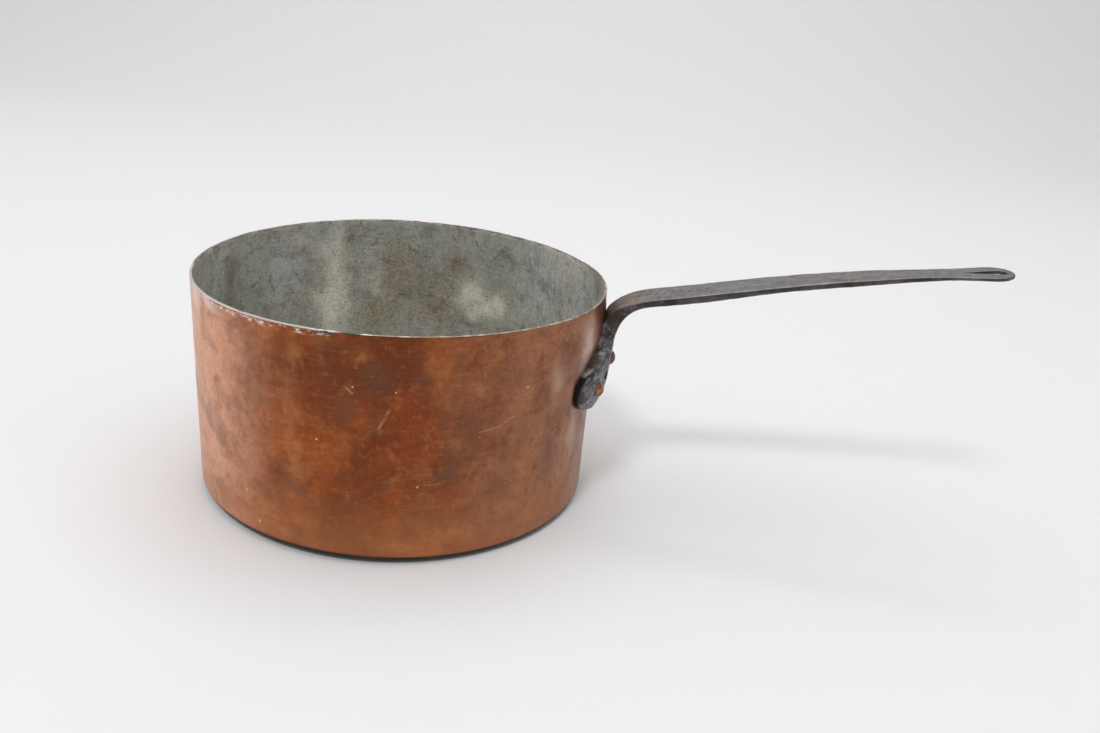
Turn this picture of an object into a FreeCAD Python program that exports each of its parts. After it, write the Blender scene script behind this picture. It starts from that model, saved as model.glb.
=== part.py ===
import FreeCAD, Part
import math
import os

# A raised copper saucepan with a wiped tin lining and one forged iron handle held by three rivets.
# Millimetres. The origin is the centre of the flat base's underside, +Z is up and +X runs along the handle.

Vector = FreeCAD.Vector
UP = Vector(0, 0, 1)

# Pan
RIM_RADIUS = 140.0
BASE_RADIUS = 137.8
PAN_HEIGHT = 154.5
WALL = 1.6
BASE_THICKNESS = 2.0
OUTER_CORNER = 5.0
RIM_ROUNDING = 0.5
TIN = 0.25

# Handle bar: height of the middle of its top face, and of its underside, against the distance from the pan's axis
BAR_TOP = [(152.6, 146.3), (164.0, 152.6), (187.5, 158.8), (222.5, 166.8), (272.0, 177.7), (317.5, 186.3),
           (362.0, 193.0)]
BAR_UNDERSIDE = [(362.0, 190.0), (317.5, 182.1), (249.0, 168.3), (199.0, 155.6), (179.0, 151.6),
                 (166.8, 147.6), (158.0, 139.0)]
NECK_INNER = [(140.6, 124.0), (144.2, 136.0)]
NECK_OUTER = [(153.8, 126.0), (152.7, 112.0)]
NECK_FOOT = 96.0
BAR_END = 406.5
END_TOP = 198.3
END_UNDERSIDE = 195.3
EDGE_ROUNDING = 1.0

# Half width of the handle against the distance from the pan's axis
HALF_WIDTHS = [(152.0, 15.4), (176.0, 15.0), (205.0, 14.5), (240.0, 14.5), (285.0, 13.4), (330.0, 11.6),
               (357.0, 10.3), (375.0, 11.8)]
NECK_HALF_WIDTH = 14.8

# Eye at the handle's end and its teardrop slot
EYE_RADIUS = 14.2
SLOT_RADIUS = 4.6
SLOT_CENTRE = BAR_END - 5.2 - SLOT_RADIUS
SLOT_POINT = 372.5

# Flange: a broad spade, crowned across and thinned towards its lower edge
FLANGE_HALF_WIDTH = 46.0
FLANGE_TOP = 111.5
FLANGE_BOTTOM = 70.5
FLANGE_WIDEST = 95.0
CROWN_RADIUS = 73.0
FLANGE_STANDOFF = [(62.0, 0.5), (68.0, 2.8), (73.0, 5.8), (79.0, 8.7), (86.0, 10.9), (94.0, 12.1), (104.0, 12.8),
                   (122.0, 13.0)]

# Rivets: one in the neck, two below it
SHANK_RADIUS = 3.2
OUTER_HEAD_RADIUS = 5.2
OUTER_HEAD_HEIGHT = 3.2
INNER_HEAD_RADIUS = 7.0
INNER_HEAD_HEIGHT = 2.6
UPPER_RIVET_HEIGHT = 106.8
LOWER_RIVET_HEIGHT = 91.0
LOWER_RIVET_ANGLE = 8.8
UPPER_RIVET_SEAT = 12.8
LOWER_RIVET_SEAT = 9.9


def wall_radius(height):
    """Radius of the pan's outer wall at a height."""
    return BASE_RADIUS + (RIM_RADIUS - BASE_RADIUS) * height / PAN_HEIGHT


def in_xz(points, y=0.0):
    """Points given as distance from the pan's axis and height, in the upright plane at y."""
    return [Vector(x, y, z) for x, z in points]


def spline(points):
    curve = Part.BSplineCurve()
    curve.interpolate(points)
    return curve.toShape()


def line(start, end):
    return Part.makeLine(start, end)


def cup(inset, floor, corner):
    """A filled cup: the pan's outer shape moved in by inset, with its floor at a height and a rounded corner."""
    top = PAN_HEIGHT + 5.0
    low = Vector(wall_radius(floor) - inset, 0, floor)
    centre = Vector(0, 0, floor)
    high = Vector(wall_radius(top) - inset, 0, top)
    axis_top = Vector(0, 0, top)
    profile = Part.makePolygon([centre, low, high, axis_top, centre])
    solid = Part.Face(profile).revolve(Vector(0, 0, 0), UP, 360)
    corner_edges = [e for e in solid.Edges if e.BoundBox.ZMax < floor + 0.01 and e.BoundBox.XMax > 50]
    return solid.makeFillet(corner, corner_edges)


def copper_shell():
    """Wall and base raised from one sheet, with the cut edge of the rim eased."""
    outside = cup(0.0, 0.0, OUTER_CORNER)
    inside = cup(WALL, BASE_THICKNESS, OUTER_CORNER - WALL)
    below_rim = Part.makeCylinder(RIM_RADIUS + 20, PAN_HEIGHT)
    shell = outside.cut(inside).common(below_rim)
    rim_edges = [e for e in shell.Edges if e.BoundBox.ZMin > PAN_HEIGHT - 0.01 and e.Length > 100]
    return shell.makeFillet(RIM_ROUNDING, rim_edges)


def tin_skin():
    """The thin wiped lining, from the floor up to the rim's rounded edge."""
    outside = cup(WALL, BASE_THICKNESS, OUTER_CORNER - WALL)
    inside = cup(WALL + TIN, BASE_THICKNESS + TIN, OUTER_CORNER - WALL - TIN)
    keep = Part.makeCylinder(RIM_RADIUS, PAN_HEIGHT - RIM_ROUNDING)
    return outside.cut(inside).common(keep)


def handle_side_view():
    """Solid of the handle's side outline, from the neck's foot to the eye."""
    width = 40.0
    foot_inner = (wall_radius(NECK_FOOT) - 3.0, NECK_FOOT)
    foot_outer = (wall_radius(NECK_FOOT) + 12.0, NECK_FOOT)
    inner = [(wall_radius(112.0) - 1.0, 112.0)] + NECK_INNER + BAR_TOP + [(BAR_END, END_TOP)]
    outer = [(BAR_END, END_UNDERSIDE)] + BAR_UNDERSIDE + NECK_OUTER
    inner_points = in_xz(inner, -width / 2)
    outer_points = in_xz(outer, -width / 2)
    foot = in_xz([foot_outer, foot_inner], -width / 2)
    edges = [
        spline(inner_points),
        line(inner_points[-1], outer_points[0]),
        spline(outer_points),
        line(outer_points[-1], foot[0]),
        line(foot[0], foot[1]),
        line(foot[1], inner_points[0]),
    ]
    return Part.Face(Part.Wire(edges)).extrude(Vector(0, width, 0))


def handle_top_view():
    """Solid of the handle's outline seen from above: it tapers, then widens into the round eye."""
    start = 120.0
    eye_centre = BAR_END - EYE_RADIUS
    tangent_angle = math.radians(100)
    join = Vector(eye_centre + EYE_RADIUS * math.cos(tangent_angle), EYE_RADIUS * math.sin(tangent_angle), 0)
    side = [Vector(start, NECK_HALF_WIDTH, 0)] + [Vector(x, y, 0) for x, y in HALF_WIDTHS] + [join]
    other_side = [Vector(p.x, -p.y, 0) for p in reversed(side)]
    edges = [
        spline(side),
        Part.Arc(join, Vector(BAR_END, 0, 0), other_side[0]).toShape(),
        spline(other_side),
        line(other_side[-1], side[0]),
    ]
    return Part.Face(Part.Wire(edges)).extrude(Vector(0, 0, 260))


def teardrop(point, centre, radius, height, depth):
    """Upright teardrop prism: a round end at centre, drawn out to a point towards the pan."""
    reach = centre - point
    touch = math.acos(radius / reach)
    corner = Vector(centre - radius * math.cos(touch), radius * math.sin(touch), height)
    other = Vector(corner.x, -corner.y, height)
    tip = Vector(point, 0, height)
    arc = Part.Arc(corner, Vector(centre + radius, 0, height), other).toShape()
    return Part.Face(Part.Wire([line(tip, corner), arc, line(other, tip)])).extrude(Vector(0, 0, depth))


def flange_outline():
    """Solid of the flange's outline seen along the handle: a bellied spade under a straight neck."""
    half = [(0.0, FLANGE_BOTTOM), (20.0, FLANGE_BOTTOM + 4.0), (36.0, FLANGE_BOTTOM + 9.5),
            (44.5, FLANGE_BOTTOM + 16.5), (FLANGE_HALF_WIDTH, FLANGE_WIDEST), (42.0, FLANGE_TOP - 6.5),
            (33.0, FLANGE_TOP - 2.5), (22.0, FLANGE_TOP), (NECK_HALF_WIDTH + 0.8, FLANGE_TOP + 5.0)]
    neck_top = 122.0
    right = [Vector(100, y, z) for y, z in half]
    left = [Vector(100, -y, z) for y, z in reversed(half)]
    crest_right = Vector(100, NECK_HALF_WIDTH, neck_top)
    crest_left = Vector(100, -NECK_HALF_WIDTH, neck_top)
    edges = [
        spline(left + right[1:]),
        line(right[-1], crest_right),
        line(crest_right, crest_left),
        line(crest_left, left[0]),
    ]
    return Part.Face(Part.Wire(edges)).extrude(Vector(80, 0, 0))


def flange_crown():
    """Round body whose side is the flange's outer face: crowned across, thinning downwards."""
    crown_axis = wall_radius(104.0) + FLANGE_STANDOFF[-2][1] - CROWN_RADIUS
    face = [(wall_radius(z) + standoff, z) for z, standoff in FLANGE_STANDOFF]
    curve_points = in_xz(face)
    bottom = Vector(crown_axis, 0, face[0][1])
    top = Vector(crown_axis, 0, face[-1][1])
    edges = [
        spline(curve_points),
        line(curve_points[-1], top),
        line(top, bottom),
        line(bottom, curve_points[0]),
    ]
    return Part.Face(Part.Wire(edges)).revolve(bottom, UP, 360)


def ease_long_edges(bar):
    """Rounds the bar's four long edges, which hammering has eased."""
    long_edges = [e for e in bar.Edges if e.BoundBox.XLength > 150]
    return bar.makeFillet(EDGE_ROUNDING, long_edges)


def forged_handle():
    bar = handle_side_view().common(handle_top_view())
    bar = ease_long_edges(bar)
    slot = teardrop(SLOT_POINT, SLOT_CENTRE, SLOT_RADIUS, 150.0, 100.0)
    bar = bar.cut(slot)
    flange = flange_outline().common(flange_crown())
    handle = bar.fuse(flange)
    pan = cup(0.0, 0.0, OUTER_CORNER)
    return handle.cut(pan).removeSplitter()


def dome(radius, height):
    """Spherical cap on the plane x = 0, bulging along +X."""
    sphere_radius = (radius ** 2 + height ** 2) / (2 * height)
    ball = Part.makeSphere(sphere_radius, Vector(height - sphere_radius, 0, 0))
    slab = Part.makeBox(height + 1, 2 * radius + 2, 2 * radius + 2, Vector(0, -radius - 1, -radius - 1))
    return ball.common(slab)


def rivet(height, angle, seat):
    """Copper rivet along a radius: low factory head inside, hammered dome on the flange outside."""
    inner_face = wall_radius(height) - WALL - TIN
    outer_seat = wall_radius(height) + seat
    shank = Part.makeCylinder(SHANK_RADIUS, outer_seat - inner_face + 0.5, Vector(inner_face - 0.2, 0, 0),
                              Vector(1, 0, 0))
    washer_depth = 2.5
    outer_foot = Part.makeCylinder(OUTER_HEAD_RADIUS, washer_depth, Vector(outer_seat - washer_depth, 0, 0),
                                   Vector(1, 0, 0))
    outer_head = dome(OUTER_HEAD_RADIUS, OUTER_HEAD_HEIGHT)
    outer_head.translate(Vector(outer_seat, 0, 0))
    inner_head = dome(INNER_HEAD_RADIUS, INNER_HEAD_HEIGHT)
    inner_head.rotate(Vector(0, 0, 0), UP, 180)
    inner_head.translate(Vector(inner_face, 0, 0))
    whole = shank.fuse([outer_foot, outer_head, inner_head]).removeSplitter()
    whole.translate(Vector(0, 0, height))
    whole.rotate(Vector(0, 0, 0), UP, angle)
    return whole


def saucepan():
    rivets = {
        "rivet_upper": rivet(UPPER_RIVET_HEIGHT, 0.0, UPPER_RIVET_SEAT),
        "rivet_lower_left": rivet(LOWER_RIVET_HEIGHT, LOWER_RIVET_ANGLE, LOWER_RIVET_SEAT),
        "rivet_lower_right": rivet(LOWER_RIVET_HEIGHT, -LOWER_RIVET_ANGLE, LOWER_RIVET_SEAT),
    }
    pieces = {
        "copper_body": copper_shell().cut(list(rivets.values())),
        "tin_lining": tin_skin().cut(list(rivets.values())),
        "handle": forged_handle().cut(list(rivets.values())),
    }
    pieces.update(rivets)
    return pieces


os.makedirs("parts", exist_ok=True)
for name, shape in saucepan().items():
    print(name, shape.ShapeType, len(shape.Solids), shape.isValid(), round(shape.Volume))
    solid = shape.Solids[0] if len(shape.Solids) == 1 else shape
    solid.exportStep("parts/" + name + ".step")
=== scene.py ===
import math

import bmesh
import bpy
import numpy as np
from mathutils import Matrix, Vector, noise


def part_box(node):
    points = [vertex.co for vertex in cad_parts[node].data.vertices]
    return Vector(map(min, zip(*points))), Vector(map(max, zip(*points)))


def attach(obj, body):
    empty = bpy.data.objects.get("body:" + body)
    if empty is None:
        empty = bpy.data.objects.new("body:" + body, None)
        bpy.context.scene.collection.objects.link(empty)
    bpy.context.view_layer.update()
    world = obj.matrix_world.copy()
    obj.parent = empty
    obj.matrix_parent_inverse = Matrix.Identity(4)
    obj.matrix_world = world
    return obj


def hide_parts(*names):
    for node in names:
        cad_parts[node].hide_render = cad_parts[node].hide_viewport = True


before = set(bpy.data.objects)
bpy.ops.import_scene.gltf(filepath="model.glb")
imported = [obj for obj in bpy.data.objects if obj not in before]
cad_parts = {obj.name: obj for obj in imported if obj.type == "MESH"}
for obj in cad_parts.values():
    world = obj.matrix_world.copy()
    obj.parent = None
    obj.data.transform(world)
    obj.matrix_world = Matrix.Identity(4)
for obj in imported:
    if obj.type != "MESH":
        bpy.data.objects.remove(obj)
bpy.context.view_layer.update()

# ---------------------------------------------------------------------------------------------
# Sizes, in metres: the pan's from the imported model, the sheet's as in its source
# ---------------------------------------------------------------------------------------------
BODY_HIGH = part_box("copper_body")[1]
HEIGHT = BODY_HIGH.z
RIM = BODY_HIGH.x
# The base's radius is this much less than the rim's.
TAPER = 0.0022
WALL = 0.0016
BASE = 0.0020
TIN = 0.00025
CORNER = 0.0048
# Rows of straight wall keep this far from a corner, and those between copper and tin this far from the rim.
CLEAR = 0.002
RIM_ROUND = 0.0007
# The lining ends in two rows, this far below the rim.
TIN_SHOULDER = 0.0009
TIN_TOP = 0.0006
SEGMENTS = 384
MM = 0.001

# Azimuths are degrees about +Z from the handle, positive anticlockwise seen from above.
# The camera's place is in rim radii, before its azimuth turns it.
CAMERA_AZIMUTH = 5.5
CAMERA_PITCH = 21.3
CAMERA_ROLL = 4.883
CAMERA_LENS = 33.89
CAMERA_PLACE = (0.78128, -4.97055, 2.58312)


def smooth(low, high, value):
    """Smooth step from 0 at low to 1 at high, for numbers or arrays."""
    t = np.clip((value - low) / (high - low), 0.0, 1.0)
    return t * t * (3 - 2 * t)


def wave(azimuth, centre, width):
    """Bump of height 1 round one azimuth, in degrees."""
    away = (azimuth - centre + 180.0) % 360.0 - 180.0
    return np.exp(-(away / width) ** 2)


# ---------------------------------------------------------------------------------------------
# The pan's walls: nearly round, with the small wanderings of a hand-raised vessel
# ---------------------------------------------------------------------------------------------
def wall_radius(z):
    """Outer radius of the true, slightly tapered wall."""
    return RIM - TAPER * (1 - z / HEIGHT)


# Waves in the rim: azimuth and width in degrees, and how far out in mm.
RIM_WAVES = [(-17, 24, 5.2), (14, 17, 2.6), (58, 22, -2.2), (105, 22, 0.35), (170, 30, -1.2),
             (-132, 22, 0.8), (-82, 24, -1.0)]
NECK_PULL = 1.6 * MM
FLANGE_SEAT = 1.8 * MM
RIPPLE = 0.12 * MM


def rim_wander(azimuth):
    """How far the rim stands off its true circle."""
    return MM * sum(out * wave(azimuth, centre, width) for centre, width, out in RIM_WAVES)


def between(bottom, bottom_full, top_full, top, z):
    """1 in a band of heights and 0 outside it, with smooth steps at both ends."""
    return smooth(bottom, bottom_full, z) * (1 - smooth(top_full, top, z))


def wall_wander(azimuth, z):
    """Radial wandering of the wall: the rim's, fading downwards, a pull at the neck, a seat pressed in
    under the flange and a slight ripple."""
    fade = smooth(0.045, HEIGHT, z) ** 1.3
    pull = NECK_PULL * wave(azimuth, -4, 17) * between(0.098, 0.126, 0.135, 0.154, z)
    seat = FLANGE_SEAT * wave(azimuth, -8, 13) * between(0.066, 0.084, 0.108, 0.128, z)
    ripple = RIPPLE * np.sin(np.radians(azimuth) * 7 + 1.0) * smooth(0.02, 0.07, z)
    return rim_wander(azimuth) * fade + pull - seat + ripple


def base_lift(azimuth, radius):
    """The worn base is slightly rounded: it rests on its middle and lifts towards the corner."""
    at_corner = MM * (1.3 + 2.2 * wave(azimuth, -122, 62) + 0.6 * wave(azimuth, 165, 40))
    return at_corner * smooth(0.098, 0.136, radius)


def ring_mesh(name, profile):
    """Closed body of revolution from (radius, height) rows, wandering with the wall. The first and last
    rows lie on the axis."""
    angles = np.arange(SEGMENTS) * 2 * math.pi / SEGMENTS
    degrees = (np.degrees(angles) + 180) % 360 - 180
    verts = []
    rows = []
    for radius, z in profile:
        if radius <= 0:
            rows.append([len(verts)])
            verts.append((0.0, 0.0, z))
            continue
        r = radius + wall_wander(degrees, np.full(SEGMENTS, z)) * smooth(0.11, 0.13, radius)
        lift = base_lift(degrees, radius) * (1 - smooth(0.004, 0.030, z))
        rows.append(range(len(verts), len(verts) + SEGMENTS))
        heights = z + lift + rim_notch(degrees, z)
        verts.extend(zip(r * np.cos(angles), r * np.sin(angles), heights))
    faces = []
    for low, high in zip(rows, rows[1:]):
        for i in range(SEGMENTS):
            j = (i + 1) % SEGMENTS
            if len(low) == 1:
                faces.append((low[0], high[j], high[i]))
            elif len(high) == 1:
                faces.append((low[i], low[j], high[0]))
            else:
                faces.append((low[i], low[j], high[j], high[i]))
    mesh = bpy.data.meshes.new(name)
    mesh.from_pydata([tuple(map(float, v)) for v in verts], [], faces)
    mesh.polygons.foreach_set("use_smooth", [True] * len(mesh.polygons))
    bm = bmesh.new()
    bm.from_mesh(mesh)
    bmesh.ops.recalc_face_normals(bm, faces=bm.faces)
    bm.to_mesh(mesh)
    bm.free()
    piece = bpy.data.objects.new(name, mesh)
    bpy.context.scene.collection.objects.link(piece)
    return piece


# Dents in the cut rim: azimuth and half width in degrees, depth in mm.
RIM_NOTCHES = [(-118, 1.4, 0.35), (-96, 0.9, 0.25), (-63, 1.1, 0.3), (31, 1.2, 0.5), (64, 1.0, 0.3),
               (97, 1.5, 0.45), (128, 1.0, 0.3), (-160, 1.3, 0.3)]


def rim_notch(degrees, z):
    """Dents and unevenness in the cut rim, felt only at the very top."""
    drop = 0.10 * np.sin(np.radians(degrees) * 5 + 0.6) + 0.06 * np.sin(np.radians(degrees) * 13)
    for place, width, depth in RIM_NOTCHES:
        drop = drop + depth * wave(degrees, place, width)
    return -MM * (drop + 0.16) * smooth(HEIGHT - 0.006, HEIGHT, z)


def arc_rows(centre_r, centre_z, radius, start, end, steps):
    """Rows along an arc between two angles, in degrees above the level."""
    rows = []
    for i in range(steps + 1):
        a = math.radians(start + (end - start) * i / steps)
        rows.append((centre_r + radius * math.cos(a), centre_z + radius * math.sin(a)))
    return rows


def wall_rows(inset, low, high, steps):
    """Rows along the straight wall, so far in from its outer face."""
    return [(wall_radius(z) - inset, z) for z in np.linspace(low, high, steps)]


# The copper and the tin share these, so that the worn base lifts both alike.
FLOOR_RADII = (0.03, 0.06, 0.09, 0.098, 0.104, 0.110, 0.116, 0.121, 0.126)


def floor_rows(z):
    """Level rows from the axis outwards."""
    return [(0.0, z)] + [(radius, z) for radius in FLOOR_RADII]


def copper_profile():
    """Outside from the base's centre round the corner to the rim, then down inside."""
    foot = wall_radius(CORNER) - CORNER
    inner_corner = CORNER - WALL
    inner_foot = wall_radius(BASE + inner_corner) - WALL - inner_corner
    inner_round = RIM_ROUND * 0.7
    rows = floor_rows(0.0)
    rows += arc_rows(foot, CORNER, CORNER, -90, 0, 10)
    rows += wall_rows(0.0, CORNER + CLEAR, HEIGHT - RIM_ROUND, 48)
    rows += arc_rows(RIM - RIM_ROUND, HEIGHT - RIM_ROUND, RIM_ROUND, 30, 90, 3)
    rows += arc_rows(RIM - WALL + inner_round, HEIGHT - inner_round, inner_round, 90, 160, 3)
    rows += wall_rows(WALL, HEIGHT - CLEAR, BASE + inner_corner + CLEAR, 40)
    rows += arc_rows(inner_foot, BASE + inner_corner, inner_corner, 0, -90, 6)
    rows += reversed(floor_rows(BASE))
    return rows


def tin_profile():
    """The lining: down the inside from just under the rim to the floor, and back as its own thin skin."""
    outer_corner = CORNER - WALL
    corner = outer_corner - TIN
    foot = wall_radius(BASE + outer_corner) - WALL - outer_corner
    floor = BASE + TIN
    rows = floor_rows(floor)
    rows += arc_rows(foot, floor + corner, corner, -90, 0, 8)
    rows += wall_rows(WALL + TIN, floor + corner + CLEAR, HEIGHT - TIN_SHOULDER, 48)
    rows += [(RIM - WALL - TIN * 0.3, HEIGHT - TIN_TOP)]
    rows += wall_rows(WALL, HEIGHT - CLEAR, BASE + outer_corner + CLEAR, 30)
    rows += arc_rows(foot, BASE + outer_corner, outer_corner, 0, -90, 6)
    rows += reversed(floor_rows(BASE))
    return rows


# ---------------------------------------------------------------------------------------------
# Material helpers
# ---------------------------------------------------------------------------------------------
NUMBER_RESULTS = ("LENGTH", "DISTANCE", "DOT_PRODUCT")
# How far the soft edge of a mark reaches, as a share of its half size.
PATCH_SPREAD = 1.25
DOT_SPREAD = 1.4
STROKE_SPREAD = 1.5
RAGGED_SCALE = 60.0
RAGGED_REACH = 0.020


class Nodes:
    """Short names for building one material's node tree."""

    def __init__(self, name):
        self.material = bpy.data.materials.new(name)
        self.material.use_nodes = True
        self.tree = self.material.node_tree
        self.tree.nodes.clear()
        output = self.new("ShaderNodeOutputMaterial")
        self.shader = self.new("ShaderNodeBsdfPrincipled")
        self.link(self.shader.outputs["BSDF"], output.inputs["Surface"])
        self.place = self.new("ShaderNodeTexCoord").outputs["Object"]
        split = self.new("ShaderNodeSeparateXYZ")
        self.link(self.place, split.inputs[0])
        self.x, self.y, self.z = split.outputs
        self.rough_place = None

    def new(self, kind, **settings):
        node = self.tree.nodes.new(kind)
        for key, value in settings.items():
            setattr(node, key, value)
        return node

    def link(self, source, target):
        self.tree.links.new(source, target)

    def put(self, socket, value):
        """Give a socket a value, or link another node's output to it."""
        if isinstance(value, bpy.types.NodeSocket):
            self.link(value, socket)
        else:
            socket.default_value = value

    def surface(self, colour, metallic, rough, normal):
        """Fill the shader's sockets and give the material."""
        for name, value in (("Base Color", colour), ("Metallic", metallic), ("Roughness", rough),
                            ("Normal", normal)):
            self.put(self.shader.inputs[name], value)
        return self.material

    def math(self, operation, a, b=0.0, clamp=False):
        node = self.new("ShaderNodeMath", operation=operation, use_clamp=clamp)
        self.put(node.inputs[0], a)
        self.put(node.inputs[1], b)
        return node.outputs[0]

    def times(self, a, b):
        return self.math("MULTIPLY", a, b)

    def plus(self, a, b):
        return self.math("ADD", a, b)

    def greatest(self, *values):
        whole = values[0]
        for value in values[1:]:
            whole = self.math("MAXIMUM", whole, value)
        return whole

    def vector(self, operation, a, b=None, scale=None):
        """Vector arithmetic, which gives a number for a length, a distance or a dot product."""
        node = self.new("ShaderNodeVectorMath", operation=operation)
        self.put(node.inputs[0], a)
        if b is not None:
            self.put(node.inputs[1], b)
        if scale is not None:
            self.put(node.inputs["Scale"], scale)
        return node.outputs["Value" if operation in NUMBER_RESULTS else "Vector"]

    def noise(self, scale, detail, roughness, vector=None, distortion=0.0):
        node = self.new("ShaderNodeTexNoise")
        self.put(node.inputs["Vector"], vector or self.place)
        node.inputs["Scale"].default_value = scale
        node.inputs["Detail"].default_value = detail
        node.inputs["Roughness"].default_value = roughness
        node.inputs["Distortion"].default_value = distortion
        return node.outputs["Fac"]

    def stretch(self, scale, turn=(0, 0, 0), vector=None):
        """Coordinates turned and scaled, for noise with its own size along each axis."""
        node = self.new("ShaderNodeMapping")
        self.put(node.inputs["Vector"], vector or self.place)
        node.inputs["Rotation"].default_value = turn
        node.inputs["Scale"].default_value = scale
        return node.outputs[0]

    def shift(self, place):
        """Object coordinates moved, for noise that differs from another of the same scale."""
        node = self.new("ShaderNodeMapping")
        self.put(node.inputs["Vector"], self.place)
        node.inputs["Location"].default_value = place
        return node.outputs[0]

    def ramp(self, value, low, high, start=0.0, end=1.0):
        """Smooth step of a value from low to high, giving start to end."""
        node = self.new("ShaderNodeMapRange", interpolation_type="SMOOTHSTEP")
        self.put(node.inputs["Value"], value)
        node.inputs["From Min"].default_value = low
        node.inputs["From Max"].default_value = high
        node.inputs["To Min"].default_value = start
        node.inputs["To Max"].default_value = end
        return node.outputs[0]

    def below_rim(self, low, high):
        """Smooth step of the height between two depths below the rim, in mm."""
        return self.ramp(self.z, HEIGHT - low * MM, HEIGHT - high * MM)

    def mix(self, factor, a, b):
        """Mix of two colours."""
        node = self.new("ShaderNodeMix", data_type="RGBA")
        self.put(node.inputs[0], factor)
        for socket, value in ((node.inputs[6], a), (node.inputs[7], b)):
            self.put(socket, value if isinstance(value, bpy.types.NodeSocket) else (*value, 1.0))
        return node.outputs[2]

    def coats(self, colour, coats):
        """Colours laid over the first in turn. Each has a mask, a strength and the colour itself."""
        for mask, strength, other in coats:
            colour = self.mix(self.times(mask, strength), colour, other)
        return colour

    def blend(self, factor, a, b):
        """Linear mix of two numbers."""
        node = self.new("ShaderNodeMix", data_type="FLOAT")
        self.put(node.inputs[0], factor)
        self.put(node.inputs[2], a)
        self.put(node.inputs[3], b)
        return node.outputs[0]

    def spot(self, centre, size, place=None):
        """Soft blob, 1 at its centre, with its own size along each axis."""
        away = self.vector("SUBTRACT", place or self.place, centre)
        return self.ramp(self.vector("LENGTH", self.vector("DIVIDE", away, size)), 1.0, 0.0)

    def facing(self):
        """The surface's normal, as its three parts."""
        split = self.new("ShaderNodeSeparateXYZ")
        self.link(self.new("ShaderNodeNewGeometry").outputs["Normal"], split.inputs[0])
        return split.outputs

    def sharpness(self):
        """Above a half on edges, below it in creases."""
        return self.new("ShaderNodeNewGeometry").outputs["Pointiness"]

    def lines(self, unrolled, slant, length, width, detail=2.0):
        """Long thin noise on the unrolled wall: its slant in degrees, its length and width in mm."""
        turned = self.stretch((1, 1, 1), (0, math.radians(slant), 0), unrolled)
        size = (1 / (length * MM), 3.0, 1 / (width * MM))
        return self.noise(1.0, detail, 0.5, self.stretch(size, vector=turned))

    def ragged(self):
        """Object coordinates pushed about by noise, for patches with uneven edges."""
        if self.rough_place is None:
            push = self.new("ShaderNodeTexNoise")
            push.inputs["Scale"].default_value = RAGGED_SCALE
            push.inputs["Detail"].default_value = 4.0
            self.link(self.place, push.inputs["Vector"])
            centred = self.vector("SUBTRACT", push.outputs["Color"], (0.5, 0.5, 0.5))
            pushed = self.vector("SCALE", centred, scale=RAGGED_REACH)
            self.rough_place = self.vector("ADD", self.place, pushed)
        return self.rough_place

    def patches(self, places, surface):
        """Greatest of several uneven blobs on a wall: azimuth, height, half width, half height in mm."""
        blobs = []
        for azimuth, height, wide, high in places:
            size = Vector((wide, wide, high)) * MM * PATCH_SPREAD
            blobs.append(self.spot(surface(azimuth, height * MM), size, self.ragged()))
        return self.greatest(*blobs)

    def dots(self, places):
        """Greatest of several round marks on the outer wall: azimuth, height and radius in mm."""
        spots = []
        for azimuth, height, size in places:
            spots.append(self.spot(on_wall(azimuth, height * MM), (size * MM * DOT_SPREAD,) * 3))
        return self.greatest(*spots)

    def stroke(self, start, end, width):
        """Soft line from one point to another, 1 along its middle."""
        along = Vector(end) - Vector(start)
        offset = self.vector("SUBTRACT", self.place, start)
        share = self.vector("DOT_PRODUCT", offset, along / along.length_squared)
        share = self.math("ADD", share, clamp=True)
        nearest = self.vector("SCALE", along, scale=share)
        return self.ramp(self.vector("DISTANCE", offset, nearest), width, 0.0)

    def strokes(self, marks, tone):
        """The light or the dark ones of a list of scratches, broken up by fine noise."""
        lines = []
        for azimuth, height, azimuth_end, height_end, width, mark_tone in marks:
            if mark_tone == tone:
                start = on_wall(azimuth, height * MM)
                end = on_wall(azimuth_end, height_end * MM)
                lines.append(self.stroke(start, end, width * MM * STROKE_SPREAD))
        return self.times(self.greatest(*lines), self.ramp(self.noise(480.0, 2, 0.5), 0.36, 0.52))

    def bump(self, height, distance, strength):
        node = self.new("ShaderNodeBump")
        node.inputs["Strength"].default_value = strength
        node.inputs["Distance"].default_value = distance
        self.put(node.inputs["Height"], height)
        return node.outputs[0]

    def from_axis(self):
        """Distance from the pan's axis."""
        return self.math("SQRT", self.plus(self.times(self.x, self.x), self.times(self.y, self.y)))

    def around(self, fade):
        """Coordinates that unroll the pan's wall (distance round it, distance from the axis, height),
        and a mask that fades out over an angle at the back, where the unrolled ends meet."""
        angle = self.math("ARCTAN2", self.y, self.x)
        join = self.new("ShaderNodeCombineXYZ")
        for socket, value in zip(join.inputs, (self.times(angle, RIM), self.from_axis(), self.z)):
            self.link(value, socket)
        return join.outputs[0], self.ramp(self.math("ABSOLUTE", angle), math.pi, math.pi - fade)


def wall_point(azimuth, height, inset):
    """Point of the wandering wall, so far in from its outer face, at an azimuth in degrees and a height."""
    r = float(wall_radius(height) + wall_wander(azimuth, height)) - inset
    a = math.radians(azimuth)
    return (r * math.cos(a), r * math.sin(a), height)


def on_wall(azimuth, height):
    """Point on the copper's outer face."""
    return wall_point(azimuth, height, 0.0)


def in_wall(azimuth, height):
    """Point on the lining's inner face."""
    return wall_point(azimuth, height, WALL + TIN)


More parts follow.
